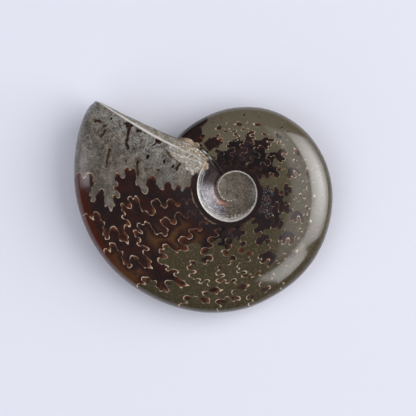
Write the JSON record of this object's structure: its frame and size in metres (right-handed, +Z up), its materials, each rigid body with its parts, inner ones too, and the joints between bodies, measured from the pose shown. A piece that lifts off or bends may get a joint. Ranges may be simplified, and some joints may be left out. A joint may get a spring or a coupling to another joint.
{
  "type": "ammonite fossil",
  "caption": "Polished ammonite fossil lying on its side: a tight domed spiral shell with a sunken centre, a narrow outer rim and a straight broken mouth.",
  "frame": {"origin": "middle of the base: the centre of the bounding box in plan, at the height of the flat that the stone rests on", "axes": "+Z up through the side of the shell; +Y towards the top of the picture; +X to its right, along the longest side"},
  "size_m": [0.0514, 0.0426, 0.0128],
  "materials": {
    "fossil_stone": "natural fossil shell and calcite, polished to a high gloss, olive green and red-brown with cream suture lines; the mouth is left rough"
  },
  "bodies": {
    "root": {"ammonite": "fossil_stone"}
  },
  "joints": []
}
